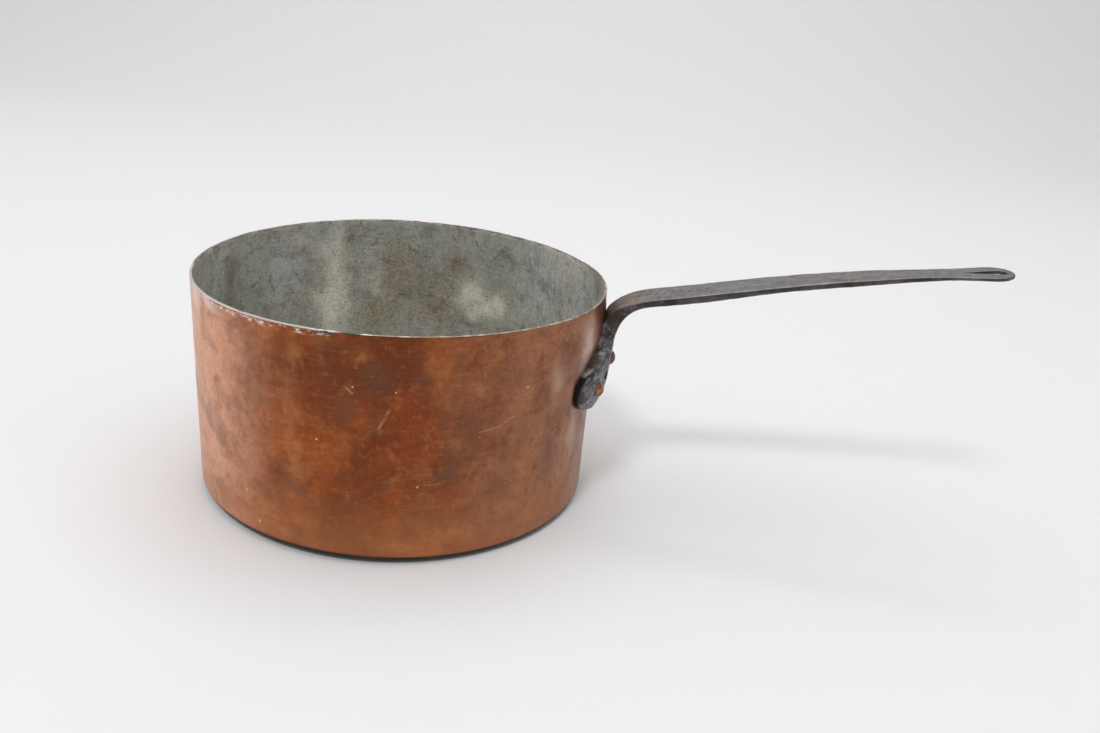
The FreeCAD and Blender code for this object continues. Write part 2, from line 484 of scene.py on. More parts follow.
# ---------------------------------------------------------------------------------------------
# Copper: brown-orange patina over satin metal
# ---------------------------------------------------------------------------------------------
# Marks on the outer wall: azimuth, height, half width, half height, the last three in mm.
SLATE_PATCHES = [(-114, 133, 11, 15), (-112, 99, 13, 11), (-80, 126, 17, 9), (-70, 128, 11, 8),
                 (-59, 98, 6, 24), (-47, 126, 13, 12), (-64, 60, 11, 5), (-57, 40, 9, 9),
                 (-101, 46, 16, 12), (-94, 143, 9, 7), (-71, 28, 12, 7), (-79, 58, 9, 6),
                 (-60, 136, 8, 14), (-30, 60, 12, 26), (62, 100, 20, 16), (118, 70, 26, 18),
                 (160, 120, 14, 20), (25, 60, 12, 20), (95, 130, 22, 9), (150, 44, 16, 14)]
WORN_PATCHES = [(-126, 122, 10, 20), (-120, 101, 13, 13), (-130, 98, 9, 30), (-124, 60, 12, 26),
                (-113, 28, 20, 13), (-135, 140, 9, 18), (-60, 20, 24, 8), (-74, 14, 18, 5),
                (-48, 34, 16, 10), (-104, 12, 26, 6), (-40, 62, 16, 30), (-24, 44, 12, 34),
                (-103, 104, 9, 30), (-102, 62, 9, 28), (-102, 138, 9, 10), (70, 50, 26, 16),
                (130, 110, 20, 24), (40, 120, 16, 14), (172, 70, 16, 30)]
RED_PATCHES = [(-70, 90, 16, 24), (-80, 70, 20, 18), (-96, 100, 16, 24), (-86, 108, 16, 12),
               (-92, 60, 20, 14), (-76, 50, 16, 10), (-82, 36, 20, 14), (-60, 44, 16, 14),
               (-74, 112, 12, 12), (90, 90, 34, 26), (145, 90, 22, 22)]
OCHRE_PATCHES = [(-124, 114, 9, 7), (-66, 134, 12, 8), (-52, 140, 9, 8), (-68, 44, 10, 8), (-60, 80, 8, 12),
                 (-38, 26, 14, 10), (-84, 142, 9, 7), (-98, 24, 12, 8), (80, 30, 14, 9), (120, 142, 12, 7)]
# Round the handle's root the wall is rubbed pale a little way off. Beside the neck it carries a band of
# painted reflection, and painted shade lies in the gaps by the neck and the flange.
NECK_RUBBED = [(-30, 112, 10, 18), (24, 118, 9, 20), (-18, 64, 10, 26)]
NECK_REFLECTION_BAND = [(-17, 124, 12, 30)]
NECK_SHADE = [(-5, 134, 7, 24), (-6, 118, 6, 16), (8, 132, 8, 24), (14, 114, 5, 14), (-20.5, 94, 3, 20),
             (-23, 84, 3, 10), (21, 86, 4, 12), (0, 74, 30, 5)]
# Along the rim.
LEFT_RIM = [(-150, 154, 34, 12), (-128, 153, 34, 11), (-110, 153, 24, 8), (-98, 154, 18, 6)]
LEFT_HAZE = [(-141, 146, 11, 12), (-131, 150, 11, 5)]
VERDIGRIS = [(-86.5, 152.5, 10, 3.0), (-93, 153, 7, 2.2), (98, 153, 8, 2.4)]
# Single scratches and scuffs: azimuth and height of each end, half width in mm, light or dark.
SCRATCHES = [(-83.5, 87, -80.5, 96, 1.6, "dark"), (-80, 95, -77.6, 107, 0.8, "light"),
             (-54.5, 90, -49, 92, 0.5, "light"), (-49, 92, -43.5, 98, 0.5, "light"),
             (-42, 109, -39.5, 113, 0.6, "light"), (-88, 120, -86.6, 117, 0.8, "light"),
             (-65.5, 63, -60.5, 64, 1.5, "dark"), (-72, 66, -67, 65, 0.6, "dark"),
             (-70, 57, -64, 57.5, 0.4, "light"), (-92, 84, -86, 86, 0.7, "dark"),
             (66, 84, 74, 96, 0.6, "light"), (102, 60, 111, 57, 0.6, "light"),
             (128, 96, 131, 112, 0.9, "dark"), (150, 100, 158, 98, 0.5, "light")]
# Painted glints, small bright spots: azimuth, height and radius in mm.
GLINT_DOTS = [(-95.6, 84, 0.8), (-113.6, 15, 1.1), (-118, 34, 0.8), (-86.5, 121, 0.7), (-76, 119, 0.6),
               (-41, 115, 0.9), (-70, 56, 0.7), (84, 60, 0.9), (132, 40, 0.8)]
# Families of fine scratches: slant in degrees, length and width in mm, noise levels of their edges.
HAIRLINES = [(88, 12, 0.45, 0.60, 0.74), (24, 20, 0.36, 0.57, 0.70), (-37, 15, 0.34, 0.58, 0.71),
             (3, 30, 0.36, 0.56, 0.70)]


def tin_over_rim(n, unrolled, drip):
    """Masks of the tin wiped over the rim: flecks below it and a bead at its left part, a lip all round."""
    at_left = n.patches(LEFT_RIM, on_wall)
    band = n.times(n.below_rim(5.6, 3.0), n.below_rim(1.2, 2.0))
    specks = n.noise(1.0, 4, 0.6, n.stretch((1 / 0.0046, 3.0, 1 / 0.0024), vector=unrolled))
    flecks = n.times(n.times(n.ramp(specks, 0.52, 0.57), band), n.ramp(at_left, 0.05, 0.45))
    bead = n.times(n.below_rim(1.1, 0.7), n.ramp(at_left, 0.02, 0.20))
    lip = n.ramp(n.plus(n.z, n.times(drip, 0.0003)), HEIGHT - 0.0006, HEIGHT - 0.0002)
    return flecks, lip, bead


def copper_material():
    """Patina in patches and specks, scratched and rubbed, with tin over the rim, a scorched underside, and
    painted reflections, glints and shade.
    """
    n = Nodes("aged_copper")
    unrolled, off_seam = n.around(0.15)
    cloud = n.noise(12.0, 6, 0.62, distortion=0.5)
    mottle = n.noise(55.0, 6, 0.66, distortion=0.4)
    stain = n.noise(26.0, 4, 0.6, n.shift((3.1, 0.7, 5.2)))
    blotch = n.noise(36.0, 5, 0.64, n.shift((5.6, 1.9, 8.8)), 0.5)
    speckle = n.noise(240.0, 5, 0.7)
    grain = n.noise(520.0, 3, 0.65)
    drip = n.noise(170.0, 4, 0.6)
    turned = n.lines(unrolled, 0, 22, 0.9, 3)
    families = []
    for slant, length, width, low, high in HAIRLINES:
        families.append(n.times(n.ramp(n.lines(unrolled, slant, length, width), low, high), off_seam))
    hairlines = n.greatest(*families)
    scratches = n.strokes(SCRATCHES, "light")

    orange = (0.375, 0.102, 0.027)
    deep = (0.168, 0.042, 0.015)
    red = (0.315, 0.068, 0.017)
    tan = (0.320, 0.150, 0.088)
    worn = (0.560, 0.240, 0.105)
    pale = (0.820, 0.440, 0.285)
    slate = (0.128, 0.068, 0.047)
    ochre = (0.50, 0.205, 0.060)
    umber = (0.175, 0.060, 0.027)
    amber = (0.52, 0.185, 0.062)
    smoke = (0.150, 0.066, 0.040)
    scuffed = (0.55, 0.28, 0.17)
    dark_grain = (0.09, 0.035, 0.022)
    rubbed = (0.54, 0.365, 0.270)
    reflection_beige = (0.56, 0.44, 0.35)
    neck_shade = (0.070, 0.036, 0.024)
    dark_scratch = (0.13, 0.090, 0.070)
    light_scratch = (0.62, 0.38, 0.25)
    painted_glint = (0.85, 0.62, 0.30)
    soot_shade_black = (0.012, 0.007, 0.006)
    soot_shade_brown = (0.050, 0.024, 0.016)
    haze = (0.80, 0.68, 0.64)
    fleck_tin = (0.74, 0.67, 0.64)
    dull_tin = (0.36, 0.31, 0.28)
    lip_tin = (0.66, 0.60, 0.56)
    bead_tin = (0.80, 0.74, 0.70)
    green_black = (0.055, 0.060, 0.042)

    # Painted reflection: the side that turns from the camera at the left is painted paler, and it is
    # smoother.
    painted_left_reflection = n.times(n.ramp(n.x, -0.030, -0.094), n.ramp(n.y, 0.05, -0.03, 0.5, 1.0))
    calm = n.blend(painted_left_reflection, 1.0, 0.50)
    # The underside is scorched and rubbed. The same dark, as painted shade, darkens the corner a little.
    soot_and_shade_below = n.ramp(n.facing()[2], -0.08, -0.48)
    flecks, lip, bead = tin_over_rim(n, unrolled, drip)
    green = n.plus(n.patches(VERDIGRIS, on_wall), n.times(drip, 0.5))

    colour = n.coats(n.mix(n.ramp(cloud, 0.34, 0.62), orange, deep), [
        (n.ramp(n.x, 0.035, 0.115), 0.82, tan),
        # Painted reflection of the pale surroundings on the left side.
        (painted_left_reflection, 0.88, pale),
        (n.patches(RED_PATCHES, on_wall), 0.50, red),
        (n.patches(WORN_PATCHES, on_wall), 0.40, worn),
        (n.times(n.ramp(mottle, 0.48, 0.68), calm), 0.50, deep),
        (n.ramp(mottle, 0.46, 0.28), 0.22, worn),
        (n.patches(OCHRE_PATCHES, on_wall), 0.32, ochre),
        (n.ramp(blotch, 0.50, 0.64), 0.34, umber),
        (n.ramp(blotch, 0.45, 0.33), 0.26, amber),
        (n.times(n.ramp(speckle, 0.50, 0.66), calm), 0.32, deep),
        (n.ramp(speckle, 0.46, 0.32), 0.26, worn),
        (n.ramp(stain, 0.52, 0.68), 0.44, smoke),
        (n.patches(SLATE_PATCHES, on_wall), 0.36, slate),
        (n.ramp(turned, 0.54, 0.72), 0.13, deep),
        (n.ramp(turned, 0.46, 0.30), 0.09, worn),
        (hairlines, 0.065, scuffed),
        (n.ramp(grain, 0.56, 0.70), 0.40, dark_grain),
        (n.ramp(n.z, 0.062, 0.008), 0.36, worn),
        (n.patches(NECK_RUBBED, on_wall), 0.62, rubbed),
        # Painted reflection beside the neck, then painted shade in the gaps by the neck and the flange.
        (n.ramp(n.patches(NECK_REFLECTION_BAND, on_wall), 0.0, 0.9), 0.74, reflection_beige),
        (n.patches(NECK_SHADE, on_wall), 0.80, neck_shade),
        (n.strokes(SCRATCHES, "dark"), 0.70, dark_scratch),
        (scratches, 0.40, light_scratch),
        # Painted glints.
        (n.dots(GLINT_DOTS), 0.85, painted_glint),
        # Soot on the base, and painted shade on its corner.
        (soot_and_shade_below, 0.96, n.mix(n.ramp(mottle, 0.40, 0.64), soot_shade_black, soot_shade_brown)),
        (n.patches(LEFT_HAZE, on_wall), 0.75, haze),
        (flecks, 0.90, fleck_tin),
        (lip, 0.85, n.mix(n.ramp(drip, 0.44, 0.60), dull_tin, lip_tin)),
        (bead, 0.92, bead_tin),
        (n.ramp(green, 0.40, 0.85), 0.80, green_black),
    ])
    rough = n.blend(n.ramp(mottle, 0.34, 0.66), 0.35, 0.47)
    rough = n.blend(n.times(hairlines, 0.3), rough, 0.30)
    height = n.plus(n.times(turned, 0.22), n.times(mottle, 0.50))
    height = n.plus(height, n.times(grain, 0.12))
    height = n.plus(height, n.times(hairlines, -0.05))
    height = n.plus(height, n.times(scratches, -0.35))
    height = n.plus(height, n.times(n.greatest(flecks, lip, bead), 0.25))
    return n.surface(colour, n.blend(soot_and_shade_below, 0.95, 0.20), n.blend(soot_and_shade_below, rough, 0.85),
                     n.bump(height, 0.00022, 0.55))


# ---------------------------------------------------------------------------------------------
# Tin: grey wiped lining, greenish and pale in zones, stained, pitted and scoured
# ---------------------------------------------------------------------------------------------
# Marks on the lining: azimuth, height, half width, half height, the last three in mm.
PALE_TIN = [(127, 112, 16, 50), (129, 88, 20, 26), (76, 85, 18, 14), (128, 84, 19, 34), (126, 90, 13, 22),
            (79, 96, 20, 20), (70, 92, 15, 17), (74, 88, 16, 14), (-60, 90, 26, 30), (-120, 70, 20, 40),
            (20, 60, 16, 26)]
BROWN_TIN = [(106, 108, 22, 36), (92, 80, 24, 20), (112, 76, 18, 22), (84, 122, 14, 16),
             (-90, 60, 40, 24), (-30, 100, 18, 30)]
COOL_TIN = [(50, 118, 30, 42), (28, 130, 20, 34), (146, 120, 18, 40), (-150, 100, 20, 40)]
DARK_TIN = [(170, 112, 11, 40), (49, 122, 8, 8), (56, 124, 7, 5), (80, 71, 12, 5), (92, 82, 8, 5),
            (120, 141, 8, 3), (97, 152, 7, 3), (70, 152, 5, 3), (150, 149, 7, 3), (-80, 110, 10, 8),
            (66, 137, 10, 5), (102, 92, 7, 8), (112, 126, 6, 5)]
BLUSH_TIN = [(38, 143, 12, 12), (46, 149, 18, 6), (34, 146, 12, 8), (30, 136, 8, 12),
             (140, 141, 12, 6), (-40, 140, 20, 10)]
CHIPS = [(79, 151.5, 1.6, 1.0), (75, 151.8, 1.8, 0.9), (72, 152.2, 1.4, 0.8), (146, 147, 2.0, 1.0),
         (152, 149, 1.6, 0.9), (118, 150.5, 1.4, 0.8), (39, 143, 1.2, 2.6)]
SCRATCHED_SIDE = [(44, 120, 46, 50)]
# Grey tin between stains, also on the rivets' inner heads.
TIN_GREY = (0.56, 0.56, 0.51)


def tin_material():
    """The wiped lining, whose floor is scraped brighter in its middle and stained round its edge."""
    n = Nodes("wiped_tin")
    unrolled, off_seam = n.around(0.12)
    cloud = n.noise(16.0, 6, 0.62, distortion=0.4)
    mottle = n.noise(85.0, 6, 0.68, distortion=0.6)
    smudge = n.noise(34.0, 5, 0.6, n.shift((7.3, 2.2, 1.6)))
    grit = n.noise(480.0, 5, 0.72)
    murk = n.noise(70.0, 5, 0.62, n.shift((4.4, 9.1, 0.3)))
    pits = n.noise(900.0, 3, 0.6)
    coarse_pits = n.noise(400.0, 3, 0.62, n.stretch((0.7, 0.7, 1.4)))
    wiped = n.lines(unrolled, 4, 30, 1.2, 3)
    upright = n.times(n.ramp(n.lines(unrolled, 86, 14, 0.6), 0.55, 0.65), off_seam)
    scour = n.times(n.ramp(n.lines(unrolled, 12, 20, 0.45), 0.60, 0.70), off_seam)

    green = (0.46, 0.475, 0.41)
    pale = (0.97, 0.955, 0.83)
    brown = (0.43, 0.325, 0.22)
    cool = (0.60, 0.63, 0.645)
    dark = (0.215, 0.205, 0.175)
    blush = (0.76, 0.66, 0.58)
    chalk = (0.86, 0.85, 0.79)
    bright_scratch = (0.90, 0.90, 0.87)
    dull_scratch = (0.75, 0.75, 0.72)
    pit_dark = (0.085, 0.082, 0.062)
    scraped = (0.55, 0.55, 0.52)
    edge_dark = (0.14, 0.135, 0.12)
    chip = (0.95, 0.95, 0.92)

    browned = n.patches(BROWN_TIN, in_wall)
    whitened = n.times(n.ramp(n.patches(PALE_TIN, in_wall), 0.0, 1.0), n.ramp(murk, 0.66, 0.42, 0.72, 1.0))
    # Pale tin keeps less of the grit and the wiping, and fewer pits.
    kept = n.blend(whitened, 1.0, 0.62)
    where = n.ramp(n.plus(smudge, n.times(browned, 0.28)), 0.44, 0.62)
    pitting = n.greatest(n.times(n.ramp(pits, 0.53, 0.66), n.blend(where, 0.30, 1.0)),
                         n.times(n.ramp(coarse_pits, 0.60, 0.68), n.blend(where, 0.25, 0.9)))
    ring = n.ramp(n.plus(n.from_axis(), n.times(smudge, 0.05)), 0.10, 0.15)
    floor_middle = n.mix(n.ramp(mottle, 0.3, 0.7), scraped, TIN_GREY)

    colour = n.coats(n.mix(n.ramp(cloud, 0.36, 0.64), TIN_GREY, green), [
        (n.patches(COOL_TIN, in_wall), 0.85, cool),
        (browned, 0.85, brown),
        (n.patches(DARK_TIN, in_wall), 0.74, dark),
        (n.ramp(smudge, 0.50, 0.68), 0.40, brown),
        (n.ramp(smudge, 0.44, 0.30), 0.30, pale),
        (n.ramp(mottle, 0.52, 0.66), 0.62, dark),
        (n.ramp(mottle, 0.45, 0.32), 0.40, cool),
        (n.ramp(murk, 0.50, 0.66), 0.40, dark),
        (n.patches(BLUSH_TIN, in_wall), 0.65, blush),
        (whitened, 1.0, pale),
        (n.ramp(mottle, 0.55, 0.66), 0.22, dark),
        (n.times(n.ramp(grit, 0.48, 0.62), kept), 0.46, dark),
        (n.ramp(grit, 0.46, 0.34), 0.34, chalk),
        (n.times(n.ramp(wiped, 0.55, 0.70), kept), 0.24, dark),
        (n.times(upright, n.patches(SCRATCHED_SIDE, in_wall)), 0.85, bright_scratch),
        (scour, 0.30, dull_scratch),
        (n.times(pitting, n.blend(whitened, 1.0, 0.55)), 0.66, pit_dark),
        (n.ramp(n.z, 0.010, 0.003), 0.55, n.mix(ring, floor_middle, brown)),
        (n.times(n.below_rim(3.0, 0.8), n.ramp(mottle, 0.40, 0.56)), 0.75, edge_dark),
        (n.patches(CHIPS, in_wall), 0.9, chip),
    ])
    height = n.plus(n.times(mottle, 0.7), n.times(wiped, 0.3))
    height = n.plus(height, n.times(pitting, -0.5))
    height = n.plus(height, n.times(upright, 0.15))
    rough = n.blend(n.ramp(mottle, 0.32, 0.68), 0.36, 0.58)
    return n.surface(colour, 0.30, rough, n.bump(height, 0.0004, 0.6))


# ---------------------------------------------------------------------------------------------
# Iron: dark scale rubbed to grey on its faces and edges, which also carry painted light, rusty in the bend
# with a painted reflection of the copper, and painted shade in hollows and creases
# ---------------------------------------------------------------------------------------------
# Places on the handle: centre, then half size along each axis.
BEND = ((0.155, 0.0, 0.150), (0.027, 0.040, 0.028))
# Painted shade in the hollow of the bend, by the wall.
BEND_HOLLOW_SHADE = ((0.1500, 0.0, 0.143), (0.017, 0.040, 0.019))
# Painted shade in the eye's hole.
EYE_HOLLOW_SHADE = ((0.3967, 0.0, 0.193), (0.026, 0.0062, 0.010))
SEAT_SIZE = (0.0085, 0.0085, 0.0085)


def iron_material():
    """Forged iron: drawn along the bar, scaly near the root, with painted shade round the rivets."""
    n = Nodes("forged_iron")
    cloud = n.noise(45.0, 5, 0.62)
    drawn = n.noise(1.0, 4, 0.6, n.stretch((28, 260, 260)))
    streaks = n.noise(1.0, 4, 0.6, n.stretch((60, 420, 60)))
    scale = n.noise(210.0, 5, 0.68, distortion=0.4)
    fine = n.noise(900.0, 3, 0.6)
    flecks = n.noise(420.0, 4, 0.65)
    freckles = n.noise(36.0, 3, 0.5, n.shift((1.2, 8.4, 3.3)))
    across = n.math("ABSOLUTE", n.facing()[1])
    up = n.facing()[2]

    dark = (0.040, 0.037, 0.039)
    grey = (0.108, 0.101, 0.103)
    rubbed = (0.300, 0.276, 0.268)
    dull = (0.225, 0.203, 0.195)
    rust_and_reflection_brown = (0.180, 0.078, 0.027)
    hollow_shade = (0.050, 0.021, 0.009)
    violet = (0.165, 0.128, 0.150)
    silvery = (0.285, 0.278, 0.268)
    fleck = (0.46, 0.45, 0.44)
    freckle = (0.30, 0.215, 0.120)
    eye_shade = (0.045, 0.040, 0.038)
    punched = (0.060, 0.042, 0.038)
    edge_highlight = (0.46, 0.435, 0.42)
    crease_shade = (0.030, 0.027, 0.027)
    rivet_seat_shade = (0.026, 0.022, 0.021)
    pore = (0.045, 0.040, 0.040)
    shade_black = (0.007, 0.006, 0.006)

    # Top faces: rubbed grey, and also painted lighter as if lit from above.
    lit_rubbed_top = n.ramp(up, 0.35, 0.85)
    rough_part = n.blend(n.ramp(n.x, 0.205, 0.165), 0.30, 1.0)
    flange = n.ramp(n.x, 0.160, 0.150)
    low_flange = n.times(flange, n.ramp(n.z, 0.144, 0.128))
    # Rust in the bend, with a painted reflection of the copper wall in its colour.
    rust_and_reflected_copper = n.times(n.times(n.spot(*BEND), n.ramp(up, 0.10, 0.50)), n.ramp(streaks, 0.30, 0.54))
    # Worn edges, with a painted highlight along them.
    edge_wear_and_highlight = n.ramp(n.sharpness(), 0.515, 0.565)
    # Painted shade: the flange's lowest side, next to the copper, is painted black.
    flange_side_shade = n.times(n.ramp(across, 0.45, 0.75), n.times(flange, n.ramp(n.z, 0.116, 0.108)))

    coats = [
        (lit_rubbed_top, 0.78, n.mix(n.ramp(drawn, 0.38, 0.62), rubbed, dull)),
        (n.times(n.ramp(scale, 0.50, 0.64), rough_part), 0.75, dark),
        (n.times(n.ramp(scale, 0.45, 0.33), rough_part), 0.36, rubbed),
        (n.times(low_flange, n.ramp(cloud, 0.40, 0.60)), 0.55, violet),
        (n.times(low_flange, n.ramp(scale, 0.54, 0.38)), 0.66, silvery),
        (n.times(low_flange, n.ramp(flecks, 0.58, 0.68)), 0.70, fleck),
        (rust_and_reflected_copper, 0.95, rust_and_reflection_brown),
        # Painted shade in the bend's hollow.
        (n.spot(*BEND_HOLLOW_SHADE), 0.90, hollow_shade),
        (n.times(n.ramp(freckles, 0.62, 0.72), lit_rubbed_top), 0.55, freckle),
        # Painted shade in the eye's hole.
        (n.spot(*EYE_HOLLOW_SHADE), 0.75, eye_shade),
    ]
    for along, aside in PUNCHED_DOTS:
        dot = n.spot((along * MM, aside * MM, BAR_HEIGHT), DOT_SIZE)
        coats.append((dot, 0.75, punched))
    coats.append((edge_wear_and_highlight, 0.42, edge_highlight))
    # Painted shade in creases.
    coats.append((n.ramp(n.sharpness(), 0.485, 0.44), 0.75, crease_shade))
    # Painted shade round the rivets' heads.
    for place in RIVET_SEATS:
        coats.append((n.spot(place, SEAT_SIZE), 0.85, rivet_seat_shade))
    coats.append((n.ramp(fine, 0.55, 0.70), 0.45, pore))
    coats.append((flange_side_shade, 0.94, shade_black))
    colour = n.coats(n.mix(n.ramp(cloud, 0.36, 0.64), dark, grey), coats)

    rough = n.blend(n.ramp(scale, 0.34, 0.66), 0.34, 0.52)
    rough = n.blend(n.times(edge_wear_and_highlight, 0.7), rough, 0.28)
    height = n.plus(n.times(scale, 0.8), n.times(fine, 0.18))
    height = n.plus(height, n.times(drawn, 0.35))
    return n.surface(colour, n.blend(rust_and_reflected_copper, 0.72, 0.12), n.blend(flange_side_shade, rough, 0.80),
                     n.bump(height, 0.0005, 0.6))


def rivet_material():
    """Worn copper heads, the upper one darker. The heads inside the pan are tinned over with the lining."""
    n = Nodes("rivet_copper_worn")
    cloud = n.noise(210.0, 4, 0.6)
    fine = n.noise(1100.0, 3, 0.6)

    copper = (0.46, 0.19, 0.095)
    brown = (0.22, 0.098, 0.062)
    plum = (0.105, 0.058, 0.062)
    dusty = (0.17, 0.105, 0.10)
    edge_highlight = (0.66, 0.33, 0.19)
    crease_shade = (0.035, 0.022, 0.018)
    pore = (0.06, 0.032, 0.024)
    dark_tin = (0.33, 0.32, 0.28)

    inside = n.ramp(n.from_axis(), RIM + 0.0012, RIM + 0.0004)
    colour = n.coats(n.mix(n.ramp(cloud, 0.40, 0.62), copper, brown), [
        (n.ramp(n.z, 0.099, 0.101), 0.85, n.mix(n.ramp(cloud, 0.4, 0.6), plum, dusty)),
        # Painted highlight along the heads' edges, then painted shade in their creases.
        (n.ramp(n.sharpness(), 0.51, 0.56), 0.55, edge_highlight),
        (n.ramp(n.sharpness(), 0.49, 0.44), 0.80, crease_shade),
        (n.ramp(fine, 0.56, 0.70), 0.45, pore),
        (inside, 0.92, n.mix(n.ramp(fine, 0.42, 0.6), TIN_GREY, dark_tin)),
    ])
    height = n.plus(cloud, n.times(fine, 0.25))
    rough = n.blend(n.ramp(cloud, 0.35, 0.65), 0.34, 0.50)
    return n.surface(colour, 0.82, rough, n.bump(height, 0.0004, 0.6))



# ---------------------------------------------------------------------------------------------
# Handle and rivets: the CAD shapes remeshed finely, then worked over as if by a hammer
# ---------------------------------------------------------------------------------------------
RIVET_NODES = ("rivet_upper", "rivet_lower_left", "rivet_lower_right")
RIVET_HEAD = 0.0032
# Hammer marks, as layers of noise: size of feature and depth.
HANDLE_MARKS = [(0.014, 0.00020), (0.005, 0.00012), (0.0018, 0.00005)]
RIVET_MARKS = [(0.0032, 0.00030), (0.0011, 0.00008)]
# Voxels of the even meshes, and rounds of smoothing.
HANDLE_VOXEL = 0.00058
HANDLE_EASING = 2
RIVET_VOXEL = 0.00026
RIVET_EASING = 3
NECK_MELTING = 90
# Hammering takes off this share of its depth everywhere.
HAMMER_LOSS = 0.15
# The flange's back goes no deeper than this into the copper sheet, short of its middle.
FLANGE_SUNK = 0.0006


def rivet_seat(node):
    """Where a rivet's outer head sits on the flange, from its box: all rivets lie along radii."""
    low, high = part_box(node)
    middle = (low + high) / 2
    side = math.atan2(middle.y, middle.x)
    reach = high.x / max(math.cos(side), 0.5) - RIVET_HEAD
    return (reach * math.cos(side), reach * math.sin(side), middle.z)


RIVET_SEATS = [rivet_seat(node) for node in RIVET_NODES]
# Generic row of punched dots where such a handle carries a stamp: distance along, sideways, in mm.
PUNCHED_DOTS = [(167.0 + 5.6 * i, 1.6 * math.sin(1.9 * i)) for i in range(9)]
PUNCH_RADIUS = 0.0016
PUNCH_DEPTH = 0.00055
# The dots' colour reaches a little past their edge, and through the bar's thickness.
DOT_SIZE = (PUNCH_RADIUS * 1.3, PUNCH_RADIUS * 1.3, 0.030)
BAR_HEIGHT = 0.158
PUNCHED_FROM = 0.160
PUNCHED_TO = 0.220


def remeshed(node, name, voxel, easing):
    """Copy of a CAD node as an even mesh, eased by a few rounds of smoothing."""
    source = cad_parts[node]
    mesh = source.data.copy()
    mesh.name = name
    piece = bpy.data.objects.new(name, mesh)
    bpy.context.scene.collection.objects.link(piece)
    remesh = piece.modifiers.new("even", "REMESH")
    remesh.mode = "VOXEL"
    remesh.voxel_size = voxel
    remesh.use_smooth_shade = True
    relax = piece.modifiers.new("ease", "SMOOTH")
    relax.factor = 0.5
    relax.iterations = easing
    apply_modifiers(piece)
    return piece


def apply_modifiers(piece):
    """Make what the modifiers give the piece's own mesh."""
    bpy.context.view_layer.update()
    graph = bpy.context.evaluated_depsgraph_get()
    mesh = bpy.data.meshes.new_from_object(piece.evaluated_get(graph))
    piece.modifiers.clear()
    piece.data = mesh


def hammered(mesh, layers):
    """Move each point along its normal by layers of noise: size of feature and depth, in metres."""
    moves = []
    loss = sum(amount for size, amount in layers) * HAMMER_LOSS
    for vertex in mesh.vertices:
        depth = sum(noise.noise(vertex.co / size) * amount for size, amount in layers)
        moves.append(vertex.normal * (depth - loss))
    for vertex, move in zip(mesh.vertices, moves):
        vertex.co += move


def melt(piece, weight, rounds):
    """Smooth only part of a piece: weight gives each point's share, from 0 to 1."""
    group = piece.vertex_groups.new(name="melt")
    for vertex in piece.data.vertices:
        share = weight(vertex.co)
        if share > 0.01:
            group.add([vertex.index], share, "REPLACE")
    relax = piece.modifiers.new("melt", "SMOOTH")
    relax.vertex_group = group.name
    relax.factor = 0.5
    relax.iterations = rounds
    apply_modifiers(piece)
    piece.vertex_groups.clear()


def neck_root(place):
    """Where the neck runs out into the flange, on its outer face."""
    rises = between(0.098, 0.106, 0.122, 0.132, place.z)
    outside = smooth(RIM + 0.0035, RIM + 0.006, math.hypot(place.x, place.y))
    return float(rises * outside)


def follow_wall(mesh, new_radius):
    """Move the points below the rim's height towards or away from the pan's axis. The new radius comes
    from each point's own, the true wall's and the wall's wandering there."""
    places = np.empty(len(mesh.vertices) * 3)
    mesh.vertices.foreach_get("co", places)
    places = places.reshape(-1, 3)
    radius = np.hypot(places[:, 0], places[:, 1])
    azimuth = np.degrees(np.arctan2(places[:, 1], places[:, 0]))
    moved = new_radius(radius, wall_radius(places[:, 2]), wall_wander(azimuth, places[:, 2]))
    moved = np.where(places[:, 2] < HEIGHT, moved, radius)
    places[:, :2] *= (moved / radius)[:, None]
    mesh.vertices.foreach_set("co", places.ravel())
    mesh.update()


def forged_handle():
    """The forging, its neck melted into the flange, hammered and punched."""
    piece = remeshed("handle", "iron_handle", HANDLE_VOXEL, HANDLE_EASING)
    melt(piece, neck_root, NECK_MELTING)
    mesh = piece.data
    hammered(mesh, HANDLE_MARKS)
    for vertex in mesh.vertices:
        if vertex.normal.z < 0.5 or not PUNCHED_FROM < vertex.co.x < PUNCHED_TO:
            continue
        for along, aside in PUNCHED_DOTS:
            away = math.hypot(vertex.co.x - along * MM, vertex.co.y - aside * MM)
            if away < PUNCH_RADIUS:
                vertex.co.z -= PUNCH_DEPTH * (1 - (away / PUNCH_RADIUS) ** 2)
    follow_wall(mesh, lambda radius, wall, wander: np.maximum(radius, wall + wander - FLANGE_SUNK))
    return piece


def inner_head_radius(radius, wall, wander):
    """A rivet's inner head goes with the wandering wall. Its outer head stays on the flange."""
    return np.where(radius < wall - WALL / 2, radius + wander, radius)


def hammered_rivet(node):
    """A rivet with hammered heads."""
    piece = remeshed(node, node + "_hammered", RIVET_VOXEL, RIVET_EASING)
    hammered(piece.data, RIVET_MARKS)
    follow_wall(piece.data, inner_head_radius)
    return piece


# ---------------------------------------------------------------------------------------------
# Stage, light and camera
# ---------------------------------------------------------------------------------------------
FLOOR_FRONT = -6.0
FLOOR_BACK = 1.6
FLOOR_HALF_WIDTH = 7.0
SWEEP_RADIUS = 1.2
SWEEP_STEPS = 12
BACKDROP_TOP = 6.0


